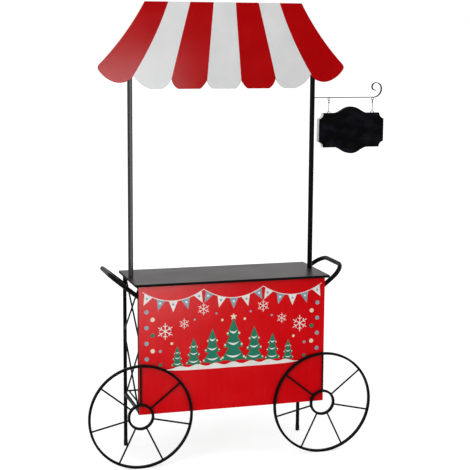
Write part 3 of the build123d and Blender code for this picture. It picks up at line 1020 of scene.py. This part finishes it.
# Eyelets and hangers. Bent from drawn steel wire and blackened. Each hanger hangs in an eyelet by its ring,
# has its end wrapped round its stem, and goes through a hole in the sign with its lower loop.
# Blackened wire: a dark grey metal, smooth, with paler streaks where the black has rubbed off.
dark_wire = coated(
    "blackened_drawn_wire",
    colours=("#141517", "#282a2c"),
    roughness=(0.3, 0.45),
    patch=6 * mm,
    grain=0.8 * mm,
    depth=0.01 * mm,
    Metallic=1.0,
)
dress(dark_wire, "bracket_eyelets", "hanger_left", "hanger_right")
wire_radius = 0.9 * mm
wire_corners = 8
wrap_radius = 2.1 * mm
wrap_turns = 3
wrap_steps = 24 * wrap_turns
wrap_drop = 10 * mm
for name in sides:
    low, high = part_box(f"hanger_{name}")
    stem = (low + high) / 2
    wraps = bmesh.new()
    rings = []
    for step in range(wrap_steps + 1):
        wound = wrap_turns * step / wrap_steps
        out = Vector((math.cos(2 * math.pi * wound), math.sin(2 * math.pi * wound), 0))
        middle = Vector((stem.x, stem.y, high.z - wrap_drop - 2 * wire_radius * wound)) + wrap_radius * out
        arms = [math.cos(turn) * out + math.sin(turn) * upward for turn in turns(wire_corners)]
        rings.append([wraps.verts.new(middle + wire_radius * arm) for arm in arms])
    skin(wraps, rings)
    for ring in (rings[0], rings[-1]):
        wraps.faces.new(ring)
    show(f"hanger_wrap_{name}", wraps, [dark_wire], "hangers")

# Hanging sign. A thick cut-out board, painted as a blackboard front, back and along its curved edges.
# Its two ends are pale grey, partly edge paint and partly a painted reflection of the light that the left end
# catches. It hangs by two holes from the wire hangers.
sign_low, sign_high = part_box("sign_board")
sign_middle = (sign_low.x + sign_high.x) / 2
sign_rounding = 0.9 * mm
sign_notch = 19 * mm
pale_margin = 0.1 * mm
pale_from = (sign_high.x - sign_low.x) / 2 - sign_notch - pale_margin
black, pale = 0, 1
sign = bmesh.new()
caps = []
for place, loop in enumerate(face_loops("sign_board", sign_low.y)):
    is_hole = place > 0
    loop = leftward(loop)[::-1] if is_hole else leftward(loop)
    rings = edge_rings(sign, loop, sign_low.y, sign_high.y, sign_rounding)
    rows = skin(sign, rings)
    # Edge faces at the two ends turn pale grey, in part a painted reflection, and the long edges stay black.
    for row in rows[1:-1]:
        for face in row:
            at_end = abs(face.calc_center_median().x - sign_middle) > pale_from
            face.material_index = pale if at_end and not is_hole else black
    caps.append((rings[0], rings[-1]))
for cap_rings in zip(*caps):
    rim_edges = []
    for ring in cap_rings:
        rim_edges += [sign.edges.get((ring[corner - 1], ring[corner])) for corner in range(len(ring))]
    bmesh.ops.triangle_fill(sign, use_beauty=True, edges=rim_edges)
# Blackboard paint: flat black with the grey clouds of wiped chalk.
blackboard = coated(
    "black_chalkboard_paint",
    colours=("#020203", "#050506"),
    roughness=(0.5, 0.62),
    patch=45 * mm,
    grain=1.2 * mm,
    depth=0.04 * mm,
    IOR=1.5,
    Specular_IOR_Level=0.03,
)
streaked(blackboard, sizes=(60 * mm, 60 * mm, 40 * mm), colour="#1b1b24", strength=0.8)
# Pale grey on the two ends, partly edge paint and partly painted reflection: brushed on and slightly uneven,
# while the long edges stay black.
pale_paint_and_reflection = coated(
    "pale_grey_paint_and_painted_reflection",
    colours=("#d2d4d5", "#e4e6e7"),
    roughness=(0.4, 0.55),
    patch=18 * mm,
    grain=1.5 * mm,
    depth=0.05 * mm,
    IOR=1.5,
    Specular_IOR_Level=0.3,
)
sign_piece = show("sign_board_painted", sign, [blackboard, pale_paint_and_reflection], "sign")
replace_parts(sign_piece, "sign_board")

# Floor, room and light. A white floor that runs to the horizon and a white room, with soft boxes.
# Both look white, while the light that they give the cart stays at a plain level.
white = (1, 1, 1, 1)


def in_view(material):
    """1 where it is seen, also mirrored or through something clear, and 0 where it only gives light."""
    path = add(material, "LightPath").outputs
    seen = {0: path["Is Camera Ray"], 1: path["Is Glossy Ray"]}
    seen = add(material, "Math", seen, operation="MAXIMUM").outputs["Value"]
    seen = {0: seen, 1: path["Is Transmission Ray"]}
    return add(material, "Math", seen, operation="MAXIMUM").outputs["Value"]


floor_data = bpy.data.meshes.new("floor")
floor_half = 40
floor_corners = [(-1, -1), (1, -1), (1, 1), (-1, 1)]
floor_data.from_pydata([(x * floor_half, y * floor_half, 0) for x, y in floor_corners], [], [(0, 1, 2, 3)])
floor = bpy.data.objects.new("floor", floor_data)
bpy.context.scene.collection.objects.link(floor)
# Floor paint: a flat pale grey, lifted to white in view, and more so away from the cart.
floor_paint = bpy.data.materials.new("white_floor_paint")
floor_paint.use_nodes = True
floor_paint.node_tree.nodes.clear()
spot = add(floor_paint, "TexCoord").outputs["Object"]
distance = add(floor_paint, "VectorMath", {0: spot}, operation="LENGTH").outputs["Value"]
lift = {"Value": distance, "From Min": 0.8, "From Max": 4, "To Min": 0.55, "To Max": 0.75}
lift = add(floor_paint, "MapRange", lift).outputs["Result"]
lift = add(floor_paint, "Math", {0: in_view(floor_paint), 1: lift}, operation="MULTIPLY").outputs["Value"]
glow = add(floor_paint, "Emission", {"Color": white, "Strength": lift}).outputs["Emission"]
paint = add(floor_paint, "BsdfDiffuse", {"Color": linear("#e6e6e6")}).outputs["BSDF"]
both = add(floor_paint, "AddShader", {0: paint, 1: glow}).outputs["Shader"]
add(floor_paint, "OutputMaterial", {"Surface": both})
floor_data.materials.append(floor_paint)

room = bpy.data.worlds.new("white_room")
bpy.context.scene.world = room
room.use_nodes = True
room.node_tree.nodes.clear()
fill_level = 0.5
level = {"Value": in_view(room), "To Min": fill_level, "To Max": 1}
level = add(room, "MapRange", level).outputs["Result"]
glow = add(room, "Background", {"Color": white, "Strength": level}).outputs["Background"]
add(room, "OutputWorld", {"Surface": glow})


def soft_box(name, place, target, width, height, radiance, shines_on=()):
    """A rectangular lamp of that brightness, aimed at a point and out of the camera's sight.

    Where pieces are given, it only shows as a shine on those, and flags keep it off all others.
    """
    lamp = bpy.data.lights.new(name, "AREA")
    lamp.shape = "RECTANGLE"
    lamp.size, lamp.size_y = width, height
    lamp.energy = radiance * math.pi * width * height
    holder = bpy.data.objects.new(name, lamp)
    holder.location = place
    holder.rotation_euler = (Vector(target) - Vector(place)).to_track_quat("-Z", "Y").to_euler()
    holder.visible_camera = False
    if shines_on:
        holder.visible_diffuse = False
        flagged = bpy.data.collections.new(f"{name}_pieces")
        for piece in shines_on:
            flagged.objects.link(piece)
        holder.light_linking.receiver_collection = flagged
    bpy.context.scene.collection.objects.link(holder)


cart_middle = (0, 0, 0.8)
soft_box("key_box", (-2.8, -3.2, 2.2), cart_middle, width=1.8, height=1.8, radiance=6.9)
soft_box("top_box", (0.6, -0.8, 4.2), cart_middle, width=3, height=3, radiance=1.4)
soft_box(
    "glare_box",
    (-0.1, -2.2, 0.87),
    target=(-0.1, 0, 0.87),
    width=0.9,
    height=1.3,
    radiance=62,
    shines_on=[roof_piece, *panel_faces],
)
soft_box(
    "post_box",
    (0.35, -1.7, 1),
    target=(-0.375, 0, 1.1),
    width=2.4,
    height=2.2,
    radiance=5.5,
    shines_on=[nodes["post_left"]],
)

# Camera, at the photograph's place. It looks at the aim point from these angles and this distance,
# through a long lens.
camera_yaw = math.radians(16.95)
camera_pitch = math.radians(9.072)
camera_roll = math.radians(0.407)
camera_distance = 5.0985
camera_aim = (46.3 * mm, 0, 883.5 * mm)
camera_lens = bpy.data.cameras.new("photo_camera")
camera_lens.lens = 97.53
camera_lens.sensor_width = 36
camera = bpy.data.objects.new("photo_camera", camera_lens)
turn = Matrix.Rotation(-camera_yaw, 4, "Z") @ Matrix.Rotation(math.pi / 2 - camera_pitch, 4, "X")
turn = turn @ Matrix.Rotation(camera_roll, 4, "Z")
camera.matrix_world = Matrix.Translation(camera_aim) @ turn @ Matrix.Translation((0, 0, camera_distance))
bpy.context.scene.collection.objects.link(camera)
bpy.context.scene.camera = camera
bpy.context.scene.view_settings.view_transform = "Standard"
